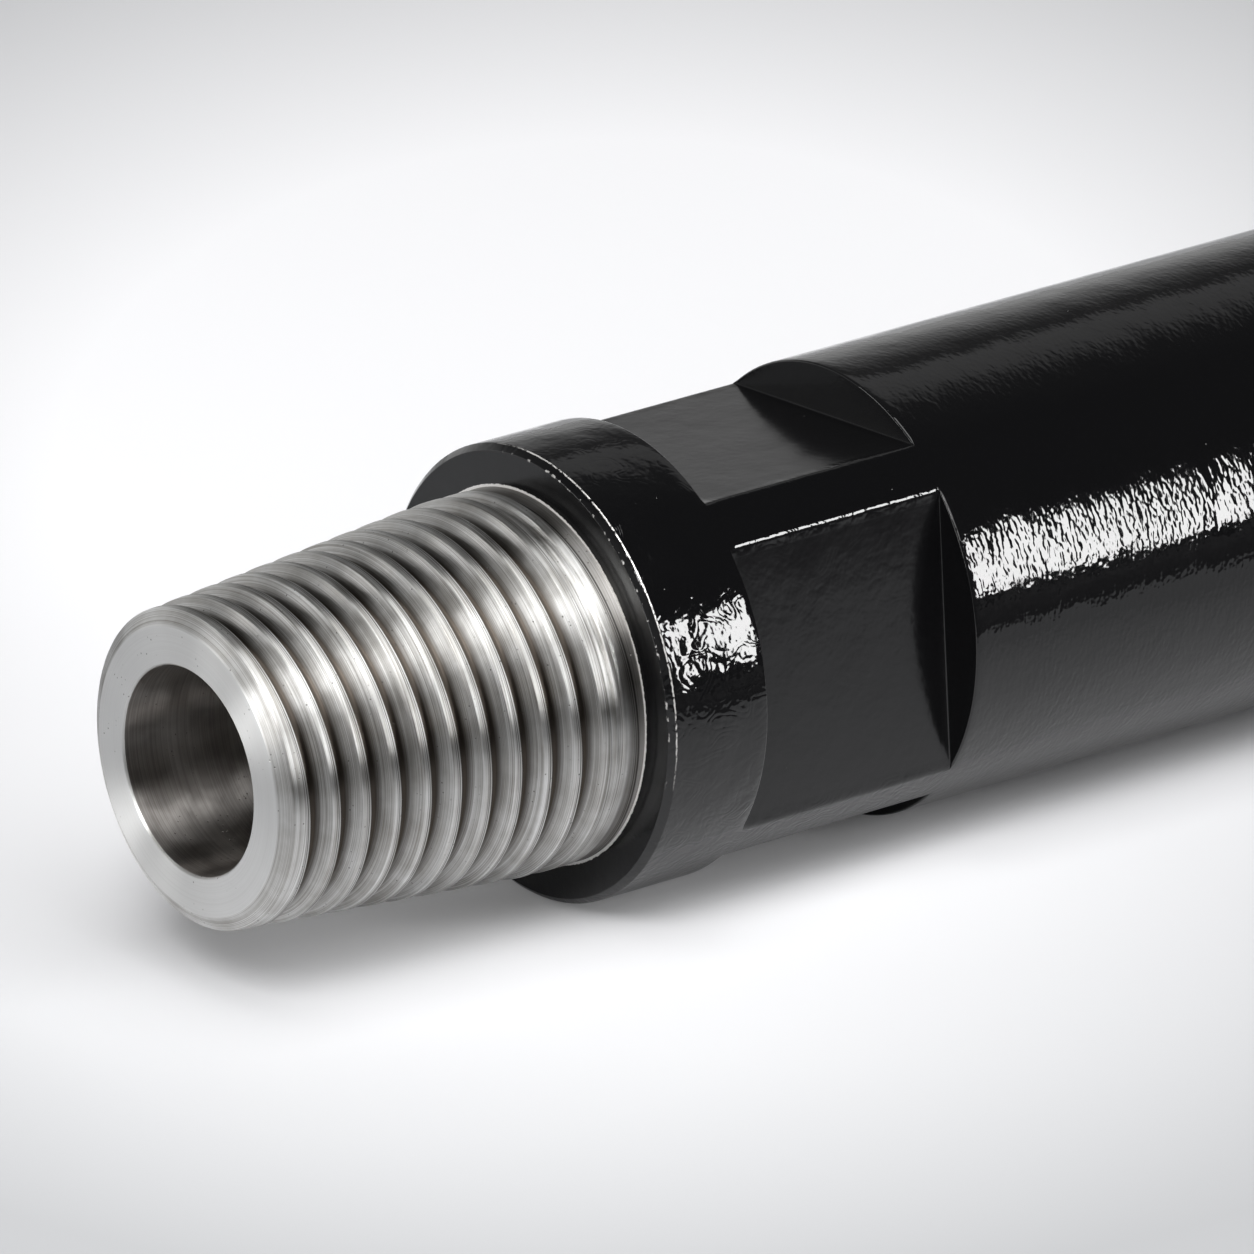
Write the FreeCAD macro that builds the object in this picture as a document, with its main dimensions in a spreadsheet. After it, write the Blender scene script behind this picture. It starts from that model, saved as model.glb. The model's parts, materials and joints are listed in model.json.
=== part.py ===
"""Drill pipe: a pin tool joint, a tube and a box tool joint, in line along the X axis.

The pin's shoulder face lies at x = 0, with the nose of the pin at -X and the box face at +X.
The pipe's axis is the X axis and +Z is up. All lengths are in millimetres.
"""
import FreeCAD, Part
import math
import os

import Sketcher

Vector = FreeCAD.Vector

# Driving dimensions, each with the name that the spreadsheet knows it by.
DIMENSIONS = {
    "joint_diameter": 85.72,  # outside of both tool joints and of the tube, 3 3/8 in
    "bore_diameter": 39.0,
    "shoulder_to_shoulder": 1000.0,
    "shoulder_bevel": 1.2,
    "bore_mouth_bevel": 0.4,
    # the tapered thread, 4 threads per inch on a taper of 1 in 6
    "thread_pitch": 6.35,
    "thread_taper": 1.0 / 6.0,
    "thread_height": 3.1,
    "groove_width": 4.7,
    "groove_root_width": 1.4,
    "thread_clearance": 0.25,
    # the pin
    "pin_length": 76.2,
    "pin_tip_diameter": 59.2,
    "pin_base_diameter": 70.0,
    "nose_face_diameter": 53.3,
    "nose_chamfer": 1.7,
    "pin_thread_start": 4.1,
    "pin_thread_turns": 10.0,
    "pin_run_in_turns": 0.25,
    "pin_run_out_turns": 0.75,
    # the pin tool joint
    "pin_joint_length": 190.0,
    "collar_length": 22.0,
    "flat_length": 48.0,
    "across_flats": 67.0,
    "flat_count": 4,
    "flat_roll": -4.2,
    # the box tool joint
    "box_joint_length": 203.0,
    "box_depth": 92.1,
    "counterbore_diameter": 74.6,
    "counterbore_depth": 15.9,
    "box_thread_turns": 9.0,
    "box_run_in_turns": 0.5,
    "box_run_out_turns": 0.75,
    # the tube and the flare that leads into it
    "tube_wall": 8.0,
    "flare_length": 40.0,
    "weld_land": 12.0,
}

SECTIONS_PER_TURN = 24
CUTTER_STAND_OFF = 1.0  # how far a thread cutter reaches past the surface that it cuts

document = FreeCAD.newDocument("drill_pipe")
sheet = document.addObject("Spreadsheet::Sheet", "dimensions")


class Size:
    """A number together with the spreadsheet expression that keeps it bound."""

    def __init__(self, number, text):
        self.number = number
        self.text = text

    def joined(self, sign, other, number):
        other_text = other.text if isinstance(other, Size) else repr(other)
        return Size(number, f"({self.text} {sign} {other_text})")

    def __add__(self, other):
        return self.joined("+", other, self.number + number_of(other))

    def __sub__(self, other):
        return self.joined("-", other, self.number - number_of(other))

    def __mul__(self, other):
        return self.joined("*", other, self.number * number_of(other))

    def __truediv__(self, other):
        return self.joined("/", other, self.number / number_of(other))


def number_of(value):
    return value.number if isinstance(value, Size) else value


def fill_sheet():
    """Writes each driving dimension into the sheet, with its name as the cell's alias."""
    for row, (name, value) in enumerate(DIMENSIONS.items(), start=1):
        sheet.set(f"A{row}", name)
        sheet.set(f"B{row}", str(value))
        sheet.setAlias(f"B{row}", name)
    document.recompute()


def size(name):
    return Size(float(sheet.get(name)), f"{sheet.Name}.{name}")


def origin_plane(body, role):
    return next(plane for plane in body.Origin.OriginFeatures if plane.Role == role)


def new_sketch(body, name, role="XY_Plane"):
    sketch = body.newObject("Sketcher::SketchObject", name)
    sketch.AttachmentSupport = [(origin_plane(body, role), "")]
    sketch.MapMode = "FlatFace"
    return sketch


def place_corner(sketch, line, direction, distance):
    """Ties the first point of a line to the origin, by a bound distance or to an axis at none."""
    axis = {"DistanceX": -2, "DistanceY": -1}[direction]
    if number_of(distance) == 0:
        sketch.addConstraint(Sketcher.Constraint("PointOnObject", line, 1, axis))
        return
    rule = sketch.addConstraint(
        Sketcher.Constraint(direction, -1, 1, line, 1, number_of(distance))
    )
    sketch.setExpression(f"Constraints[{rule}]", distance.text)


def closed_outline(body, name, corners, role="XY_Plane"):
    """Sketches a closed outline of straight lines through corners given as bound sizes."""
    sketch = new_sketch(body, name, role)
    points = [Vector(number_of(x), number_of(y), 0) for x, y in corners]
    for start, end in zip(points, points[1:] + points[:1]):
        sketch.addGeometry(Part.LineSegment(start, end))
    for line, (x, y) in enumerate(corners):
        following = (line + 1) % len(corners)
        sketch.addConstraint(Sketcher.Constraint("Coincident", line, 2, following, 1))
        place_corner(sketch, line, "DistanceX", x)
        place_corner(sketch, line, "DistanceY", y)
    return sketch


def turned_body(name, corners):
    """A body turned about the X axis from an outline of axial place and radius."""
    body = document.addObject("PartDesign::Body", name)
    sketch = closed_outline(body, f"{name}_outline", corners)
    turned = body.newObject("PartDesign::Revolution", f"{name}_turned")
    turned.Profile = (sketch, [""])
    turned.ReferenceAxis = (sketch, ["H_Axis"])
    turned.Angle = 360
    document.recompute()
    return body


def cut_wrench_flats(body):
    """Mills the wrench flats behind the collar, evenly spaced round the axis."""
    start = size("pin_length") + size("collar_length")
    end = start + size("flat_length")
    half_width = size("joint_diameter") / 2
    sketch = new_sketch(body, "wrench_flat_outline")
    corners = [(start, -1), (end, -1), (end, 1), (start, 1)]
    points = [Vector(x.number, side * half_width.number, 0) for x, side in corners]
    for first, second in zip(points, points[1:] + points[:1]):
        sketch.addGeometry(Part.LineSegment(first, second))
    for line in range(4):
        sketch.addConstraint(Sketcher.Constraint("Coincident", line, 2, (line + 1) % 4, 1))
    sketch.addConstraint(Sketcher.Constraint("Horizontal", 0))
    sketch.addConstraint(Sketcher.Constraint("Horizontal", 2))
    sketch.addConstraint(Sketcher.Constraint("Vertical", 1))
    sketch.addConstraint(Sketcher.Constraint("Symmetric", 3, 1, 3, 2, -1))
    place_corner(sketch, 0, "DistanceX", start)
    length = sketch.addConstraint(
        Sketcher.Constraint("DistanceX", 0, 1, 0, 2, number_of(size("flat_length")))
    )
    sketch.setExpression(f"Constraints[{length}]", size("flat_length").text)
    width = sketch.addConstraint(
        Sketcher.Constraint("DistanceY", 1, 1, 1, 2, 2 * half_width.number)
    )
    sketch.setExpression(f"Constraints[{width}]", (half_width * 2).text)
    # The sketch stands on the flat itself, turned about the pipe's axis by the flats' roll.
    roll = size("flat_roll")
    reach = size("across_flats") / 2
    sketch.AttachmentOffset = FreeCAD.Placement(
        Vector(0, 0, 0), FreeCAD.Rotation(Vector(1, 0, 0), roll.number)
    )
    sketch.setExpression("AttachmentOffset.Rotation.Angle", roll.text)
    sketch.setExpression("AttachmentOffset.Base.y", f"-sin({roll.text} * 1deg) * {reach.text}")
    sketch.setExpression("AttachmentOffset.Base.z", f"cos({roll.text} * 1deg) * {reach.text}")
    document.recompute()
    flat = body.newObject("PartDesign::Pocket", "wrench_flat")
    flat.Profile = (sketch, [""])
    flat.Type = "ThroughAll"
    flat.Reversed = True
    document.recompute()
    pattern = body.newObject("PartDesign::PolarPattern", "wrench_flats")
    pattern.Originals = [flat]
    pattern.Axis = (next(line for line in body.Origin.OriginFeatures if line.Role == "X_Axis"), [""])
    pattern.Angle = 360
    pattern.Occurrences = int(size("flat_count").number)
    pattern.setExpression("Occurrences", size("flat_count").text)
    body.Tip = pattern
    document.recompute()


def groove_section(turn, centre, surface, outward):
    """The four-cornered section of a thread groove.

    turn is the place round the axis in turns, centre the groove's axial place, and surface the
    radius of the thread's crests there. outward is 1 for a groove in an outside thread, whose
    mouth faces away from the axis, and -1 for one in an inside thread.
    """
    mouth = size("groove_width").number / 2
    root = size("groove_root_width").number / 2
    depth = size("thread_height").number
    flare = (mouth - root) / depth * CUTTER_STAND_OFF
    top = surface + outward * CUTTER_STAND_OFF
    bottom = surface - outward * depth
    angle = 2 * math.pi * turn
    outline = [
        (centre - mouth - flare, top),
        (centre - root, bottom),
        (centre + root, bottom),
        (centre + mouth + flare, top),
    ]
    points = [Vector(x, r * math.cos(angle), r * math.sin(angle)) for x, r in outline]
    return Part.makePolygon(points + points[:1])


def thread_cutter(name, turns, run_in, run_out, start, surface_at, outward):
    """The solid that a thread's groove leaves empty: a loft through sections round a helix.

    It follows the thread's crests for the full turns, and rises clear of them over the run in
    before and the run out after, as the tool that cuts such a thread is led in and out.
    """
    pitch = size("thread_pitch").number
    rise = size("thread_height").number + CUTTER_STAND_OFF / 2
    first = -round(run_in * SECTIONS_PER_TURN)
    last = round((turns + run_out) * SECTIONS_PER_TURN)
    sections = []
    for step in range(first, last + 1):
        turn = step / SECTIONS_PER_TURN
        clear = max(-turn / run_in, (turn - turns) / run_out, 0.0) * rise
        centre = start + pitch * turn
        surface = surface_at(centre) + outward * clear
        sections.append(groove_section(turn, centre, surface, outward))
    cutter = document.addObject("Part::Feature", name)
    cutter.Shape = Part.makeLoft(sections, True, True)
    return cutter


def threaded(name, blank, cutter):
    """Cuts the thread's groove out of the blank, as the named sub-part."""
    part = document.addObject("Part::Cut", name)
    part.Label = name
    part.Base = blank
    part.Tool = cutter
    document.recompute()
    return part


def pin_crest_radius(from_tip):
    """Radius of the pin's thread crests at a distance from the tip of the pin."""
    return size("pin_tip_diameter") / 2 + from_tip * size("thread_taper") / 2


def make_pin_tool_joint():
    """The male end, drawn from the tip of the pin at 0 to the weld."""
    outside = size("joint_diameter") / 2
    bore = size("bore_diameter") / 2
    mouth = size("bore_mouth_bevel")
    base = size("pin_base_diameter") / 2
    shoulder = size("pin_length")
    weld = shoulder + size("pin_joint_length")
    flare_end = weld - size("weld_land")
    chamfer = size("nose_chamfer")
    crest_end = (base - size("pin_tip_diameter") / 2) * 2 / size("thread_taper")
    bevel = size("shoulder_bevel")
    blank = turned_body("pin_blank", [
        (mouth, bore),
        (flare_end - size("flare_length"), bore),
        (flare_end, outside - size("tube_wall")),
        (weld, outside - size("tube_wall")),
        (weld, outside),
        (shoulder + bevel, outside),
        (shoulder, outside - bevel),
        (shoulder, base),
        (crest_end, base),
        (chamfer, pin_crest_radius(chamfer)),
        (0, size("nose_face_diameter") / 2),
        (0, bore + mouth),
    ])
    cut_wrench_flats(blank)
    cutter = thread_cutter(
        "pin_thread_cutter",
        size("pin_thread_turns").number,
        size("pin_run_in_turns").number,
        size("pin_run_out_turns").number,
        size("pin_thread_start").number,
        lambda place: pin_crest_radius(Size(place, "")).number,
        1,
    )
    part = threaded("pin_tool_joint", blank, cutter)
    part.setExpression("Placement.Base.x", f"-{shoulder.text}")
    return part


def box_crest_radius(from_face):
    """Radius of the box's thread crests at a depth from the box face, clear of the pin's roots."""
    pin_root = pin_crest_radius(size("pin_length") - from_face) - size("thread_height")
    return pin_root + size("thread_clearance")


def make_box_tool_joint():
    """The female end, drawn from the box face at 0 inwards to the weld, then turned to face +X."""
    outside = size("joint_diameter") / 2
    bore = size("bore_diameter") / 2
    bevel = size("shoulder_bevel")
    counterbore = size("counterbore_diameter") / 2
    lead_in = size("counterbore_depth")
    depth = size("box_depth")
    weld = size("box_joint_length")
    flare_end = weld - size("weld_land")
    cone_end = box_crest_radius(depth)
    blank = turned_body("box_blank", [
        (bevel, outside),
        (0, outside - bevel),
        (0, counterbore + size("bore_mouth_bevel")),
        (size("bore_mouth_bevel"), counterbore),
        (lead_in, counterbore),
        (lead_in + (counterbore - box_crest_radius(lead_in)), box_crest_radius(lead_in)),
        (depth, cone_end),
        (depth + (cone_end - bore), bore),
        (flare_end - size("flare_length"), bore),
        (flare_end, outside - size("tube_wall")),
        (weld, outside - size("tube_wall")),
        (weld, outside),
    ])
    cutter = thread_cutter(
        "box_thread_cutter",
        size("box_thread_turns").number,
        size("box_run_in_turns").number,
        size("box_run_out_turns").number,
        (lead_in + size("thread_pitch") / 2).number,
        lambda place: box_crest_radius(Size(place, "")).number,
        -1,
    )
    part = threaded("box_tool_joint", blank, cutter)
    part.Placement = FreeCAD.Placement(Vector(0, 0, 0), FreeCAD.Rotation(Vector(0, 0, 1), 180))
    part.setExpression("Placement.Base.x", size("shoulder_to_shoulder").text)
    return part


def make_tube():
    """The seamless tube between the two welds."""
    outside = size("joint_diameter") / 2
    inside = outside - size("tube_wall")
    length = (
        size("shoulder_to_shoulder") - size("pin_joint_length") - size("box_joint_length")
    )
    body = turned_body("pipe_tube", [(0, inside), (length, inside), (length, outside), (0, outside)])
    body.Label = "pipe_tube"
    body.setExpression("Placement.Base.x", size("pin_joint_length").text)
    return body


def check_and_export(parts):
    """Stops on a failed object or a bad shape, then writes one STEP file for each sub-part."""
    document.recompute()
    for thing in document.Objects:
        if "Invalid" in thing.State or "Error" in thing.State:
            raise RuntimeError(f"{thing.Name} failed: {thing.State}")
    for part in parts:
        shape = part.Shape
        if shape.isNull() or not shape.isValid() or len(shape.Solids) != 1:
            raise RuntimeError(f"{part.Label} has no valid single solid")
    os.makedirs("parts", exist_ok=True)
    for part in parts:
        part.Shape.exportStep(os.path.join("parts", f"{part.Label}.step"))
        print(f"{part.Label}: {part.Shape.Volume / 1000:.1f} cm3, {len(part.Shape.Faces)} faces")


fill_sheet()
check_and_export([make_pin_tool_joint(), make_tube(), make_box_tool_joint()])
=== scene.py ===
"""The looks of a drill pipe that lies on a pale studio floor.

The pipe is a pin tool joint with a bare machined thread, a flush tube and a box tool joint, all
three painted outside in black gloss enamel. Lengths in this file are metres unless a name ends
in mm. The pipe's axis is the X axis, with the pin's shoulder face at x = 0 and the nose at -X.
"""

import json
import logging
import math
from dataclasses import dataclass, field
from enum import Enum, IntEnum
from typing import Any, Callable, Sequence

import bmesh
import bpy
import numpy as np
from mathutils import Matrix, Vector

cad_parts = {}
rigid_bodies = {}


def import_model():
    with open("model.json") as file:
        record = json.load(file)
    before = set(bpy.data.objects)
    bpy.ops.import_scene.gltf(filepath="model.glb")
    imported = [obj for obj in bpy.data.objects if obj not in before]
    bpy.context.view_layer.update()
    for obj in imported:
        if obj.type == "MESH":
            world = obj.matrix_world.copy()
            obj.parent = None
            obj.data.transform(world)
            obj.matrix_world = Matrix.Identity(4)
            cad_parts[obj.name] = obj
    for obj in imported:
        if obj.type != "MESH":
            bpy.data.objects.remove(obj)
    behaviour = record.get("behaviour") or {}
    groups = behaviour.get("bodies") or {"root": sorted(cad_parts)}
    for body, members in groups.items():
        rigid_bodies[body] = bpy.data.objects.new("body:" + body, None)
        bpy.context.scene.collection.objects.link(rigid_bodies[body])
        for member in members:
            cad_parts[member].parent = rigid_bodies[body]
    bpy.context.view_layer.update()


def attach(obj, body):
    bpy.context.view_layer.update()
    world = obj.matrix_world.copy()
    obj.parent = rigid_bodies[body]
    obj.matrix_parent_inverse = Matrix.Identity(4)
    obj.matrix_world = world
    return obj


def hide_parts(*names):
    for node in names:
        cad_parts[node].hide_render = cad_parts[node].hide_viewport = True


log = logging.getLogger("drill_pipe")

MM = 0.001
ROOT = "root"  # the one body of a row with no joints

PITCH = 6.35 * MM  # four threads to the inch
TAPER = 1 / 12  # how the thread's radius grows along the axis, which is 1 in 6 on its diameter
THREAD_HEIGHT = 3.1 * MM
ONE_POINT = 1e-7  # points that lie closer than this are one point
SEAM_GAP = 4e-6  # how far apart the rims of two surfaces may lie where they are joined
FULL_TURN = 2 * math.pi
QUARTER_TURN = math.pi / 2

Color = tuple[float, float, float, float]
Point = tuple[float, float]  # axial place and radius
Ring = tuple[np.ndarray, np.ndarray]  # axial place and radius at each angle


def srgb(code: str) -> Color:
    """Turns a colour as it is seen on a screen into the linear values that shaders take.

    Args:
        code: An sRGB hex value such as "#c0c0c0".

    Returns:
        The linear red, green, blue and an alpha of 1.
    """
    parts = [int(code[i : i + 2], 16) / 255 for i in (1, 3, 5)]
    linear = [c / 12.92 if c <= 0.04045 else ((c + 0.055) / 1.055) ** 2.4 for c in parts]
    return (linear[0], linear[1], linear[2], 1.0)


def add_node(
    tree: bpy.types.NodeTree,
    kind: str,
    settings: dict[str, Any] | None = None,
    inputs: dict[str | int, Any] | None = None,
) -> bpy.types.Node:
    """Adds one node, sets it up and links what feeds it.

    Args:
        tree: The node tree that gets the node.
        kind: The node's Blender type name.
        settings: Attribute values of the node itself.
        inputs: Input sockets by name or number, each with a value or the socket that feeds it.

    Returns:
        The new node.
    """
    node = tree.nodes.new(kind)
    for name, value in (settings or {}).items():
        setattr(node, name, value)
    for name, value in (inputs or {}).items():
        socket = node.inputs[name]
        if isinstance(value, bpy.types.NodeSocket):
            tree.links.new(value, socket)
        else:
            socket.default_value = value
    return node


def math_node(tree: bpy.types.NodeTree, operation: str, *values: Any) -> bpy.types.NodeSocket:
    """Adds a sum of the given kind and returns its output.

    Args:
        tree: The node tree, of a shader or of geometry.
        operation: A Math node operation such as "ADD".
        values: Numbers or sockets, in the order of the node's inputs.

    Returns:
        The output socket.
    """
    inputs = dict(enumerate(values))
    return add_node(tree, "ShaderNodeMath", {"operation": operation}, inputs).outputs[0]


class Paint(Enum):
    """Where a painted surface lies, which sets how its film flowed before it dried."""

    COLLAR = "collar"
    TUBE = "tube"
    END_WALL = "end_wall"


class Side(Enum):
    """Which way a thread's crests point."""

    OUTSIDE = 1
    INSIDE = -1


class BodyFinish(IntEnum):
    """The finishes of the pin joint's body, in the order of its mesh's materials."""

    COLLAR = 0
    BARE = 1
    END_WALL = 2
    TUBE = 3


@dataclass(frozen=True)
class PipeSizes:
    """The sizes that the pieces share, as the solids have them.

    Attributes:
        radius: The outside radius, the same from the shoulder to the box face.
        bore: The narrow bore's radius in both tool joints.
        tube_inside: The tube's inside radius.
        flare: How long the bore takes to widen to the tube's inside.
        weld_land: How far the wide bore goes on past a weld.
        shoulder_bevel: The bevel round the shoulder and round the box face.
        pin_length: From the shoulder to the nose.
        pin_tip_radius: The radius that the crests' cone has at the nose.
        pin_weld: Axial place of the weld between the pin joint and the tube.
        box_weld: Axial place of the weld between the tube and the box joint.
    """

    radius: float = 42.86 * MM
    bore: float = 19.5 * MM
    tube_inside: float = 34.86 * MM
    flare: float = 40.0 * MM
    weld_land: float = 12.0 * MM
    shoulder_bevel: float = 1.2 * MM
    pin_length: float = 76.2 * MM
    pin_tip_radius: float = 29.6 * MM
    pin_weld: float = 190.0 * MM
    box_weld: float = 797.0 * MM


@dataclass(frozen=True)
class ThreadForm:
    """A tapered thread: 4 to the inch, on a taper of 1 in 6.

    Attributes:
        start: Axial place of the groove's middle where its turns are counted from.
        turns: How many turns the groove has at its full depth.
        run_in: Turns over which it sinks in before them.
        run_out: Turns over which it rises out after them.
        low: Axial place of the threaded cone's end towards -X.
        high: Axial place of its end towards +X.
        crest_at_zero: The radius that the crests' cone would have at x = 0.
        crest_slope: How much the crests' radius grows for each metre along X.
        base_radius: Radius of the cylinder that the crests don't pass.
        chamfer_radius: Radius of the chamfer at the end towards -X.
        chamfer_slope: How much the chamfer's radius grows for each metre along X.
        side: Which way the crests point.
        pitch: From one groove to the next.
        height: From the root to the crest.
        groove_width: The groove's width at the crests.
        root_width: Its width at the root.
    """

    start: float
    turns: float
    run_in: float
    run_out: float
    low: float
    high: float
    crest_at_zero: float
    crest_slope: float
    base_radius: float
    chamfer_radius: float
    chamfer_slope: float
    side: Side
    pitch: float = PITCH
    height: float = THREAD_HEIGHT
    groove_width: float = 4.7 * MM
    root_width: float = 1.4 * MM


class ShaderTree:
    """The node tree of one material, with short calls for the nodes that the finishes share."""

    def __init__(self, name: str) -> None:
        """Starts a material.

        Args:
            name: The material's name.
        """
        self.material = bpy.data.materials.new(name)
        self.material.use_nodes = True
        self.tree = self.material.node_tree
        self.shader = self.tree.nodes["Principled BSDF"]
        self.place = add_node(self.tree, "ShaderNodeTexCoord").outputs["Object"]
        axes = add_node(self.tree, "ShaderNodeSeparateXYZ", inputs={0: self.place}).outputs
        self.x, self.y, self.z = axes[0], axes[1], axes[2]
        across = self.op("MULTIPLY", self.y, self.y)
        self.radius = self.op("SQRT", self.op("MULTIPLY_ADD", self.z, self.z, across))

    def op(self, operation: str, *values: Any) -> bpy.types.NodeSocket:
        """A sum in this tree."""
        return math_node(self.tree, operation, *values)

    def noise(
        self, size_mm: float, detail: float = 2.0, distortion: float = 0.0, at: Any = None
    ) -> bpy.types.NodeSocket:
        """Adds cloudy noise.

        Args:
            size_mm: About how wide its features are.
            detail: How many finer layers it has.
            distortion: How far it is warped.
            at: The place that it is read at, or None for the object's own.

        Returns:
            The noise, from 0 to 1.
        """
        inputs = {
            "Vector": at or self.place,
            "Scale": 1 / (size_mm * MM),
            "Detail": detail,
            "Distortion": distortion,
        }
        return add_node(self.tree, "ShaderNodeTexNoise", inputs=inputs).outputs["Fac"]

    def specks(self, cell_mm: float, radius_mm: float) -> bpy.types.NodeSocket:
        """Adds a mask of small round specks.

        Args:
            cell_mm: About how far apart the specks are.
            radius_mm: Their radius.

        Returns:
            The mask, 1 in the specks and 0 elsewhere.
        """
        inputs = {"Vector": self.place, "Scale": 1 / (cell_mm * MM), "Randomness": 1.0}
        distance = add_node(self.tree, "ShaderNodeTexVoronoi", inputs=inputs).outputs["Distance"]
        reach = radius_mm / cell_mm
        return self.fade(distance, reach, reach * 0.6)

    def fade(
        self, value: Any, start: float, end: float, low: float = 0.0, high: float = 1.0
    ) -> bpy.types.NodeSocket:
        """Maps start..end of a value to low..high, and holds it there outside."""
        inputs = {"Value": value, "From Min": start, "From Max": end, "To Min": low, "To Max": high}
        return add_node(self.tree, "ShaderNodeMapRange", inputs=inputs).outputs[0]

    def blend(self, factor: Any, low: Any, high: Any) -> bpy.types.NodeSocket:
        """Mixes two colours.

        Args:
            factor: How much of the second there is, a number or a socket.
            low: The first colour, a hex value or a socket.
            high: The second colour, likewise.

        Returns:
            The mixed colour.
        """
        low = srgb(low) if isinstance(low, str) else low
        high = srgb(high) if isinstance(high, str) else high
        inputs = {"Factor": factor, 6: low, 7: high}
        return add_node(self.tree, "ShaderNodeMix", {"data_type": "RGBA"}, inputs).outputs[2]

    def bump(
        self, height: Any, depth_mm: float, strength: Any = 1.0, over: Any = None
    ) -> bpy.types.NodeSocket:
        """Raises the surface by a height map.

        Args:
            height: The height map.
            depth_mm: How far the surface rises for a height of 1.
            strength: How much of the bump shows.
            over: The bump that this one lies on, or None.

        Returns:
            The normal.
        """
        inputs = {"Strength": strength, "Distance": depth_mm * MM, "Height": height}
        if over is not None:
            inputs["Normal"] = over
        return add_node(self.tree, "ShaderNodeBump", inputs=inputs).outputs[0]

    def feed(self, **sockets: Any) -> bpy.types.Material:
        """Feeds the shader.

        Args:
            **sockets: A value, or the socket that feeds it, for each of the shader's inputs by
                its name in small letters with underscores.

        Returns:
            The material.
        """
        for name, value in sockets.items():
            socket = self.shader.inputs[name.replace("_", " ").title().replace("Ior", "IOR")]
            if isinstance(value, bpy.types.NodeSocket):
                self.tree.links.new(value, socket)
            else:
                socket.default_value = value
        return self.material


@dataclass(frozen=True)
class ThreadCone:
    """The cone that a thread's crests lie on, for shading by depth below it.

    Attributes:
        at_zero_mm: Its radius at x = 0.
        cap_mm: The radius that the crests don't pass.
        side: Which way the crests point.
        start_mm: Axial place of the groove's middle where its turns are counted from.
    """

    at_zero_mm: float
    cap_mm: float
    side: Side
    start_mm: float


@dataclass(frozen=True)
class CrestLine:
    """A fine line of painted shade that runs round beside a crest.

    Attributes:
        place: How many turns it lies past the groove's middle.
        faint: Its half width where it begins to show, in turns.
        full: Its half width where it is at its full strength.
        strength: How dark it is there.
    """

    place: float
    faint: float
    full: float
    strength: float


CREST_LINES = (
    CrestLine(place=0.53, faint=0.02, full=0.01, strength=0.5),
    CrestLine(place=0.585, faint=0.024, full=0.012, strength=0.8),
    CrestLine(place=0.66, faint=0.034, full=0.018, strength=1.0),
)


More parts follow.
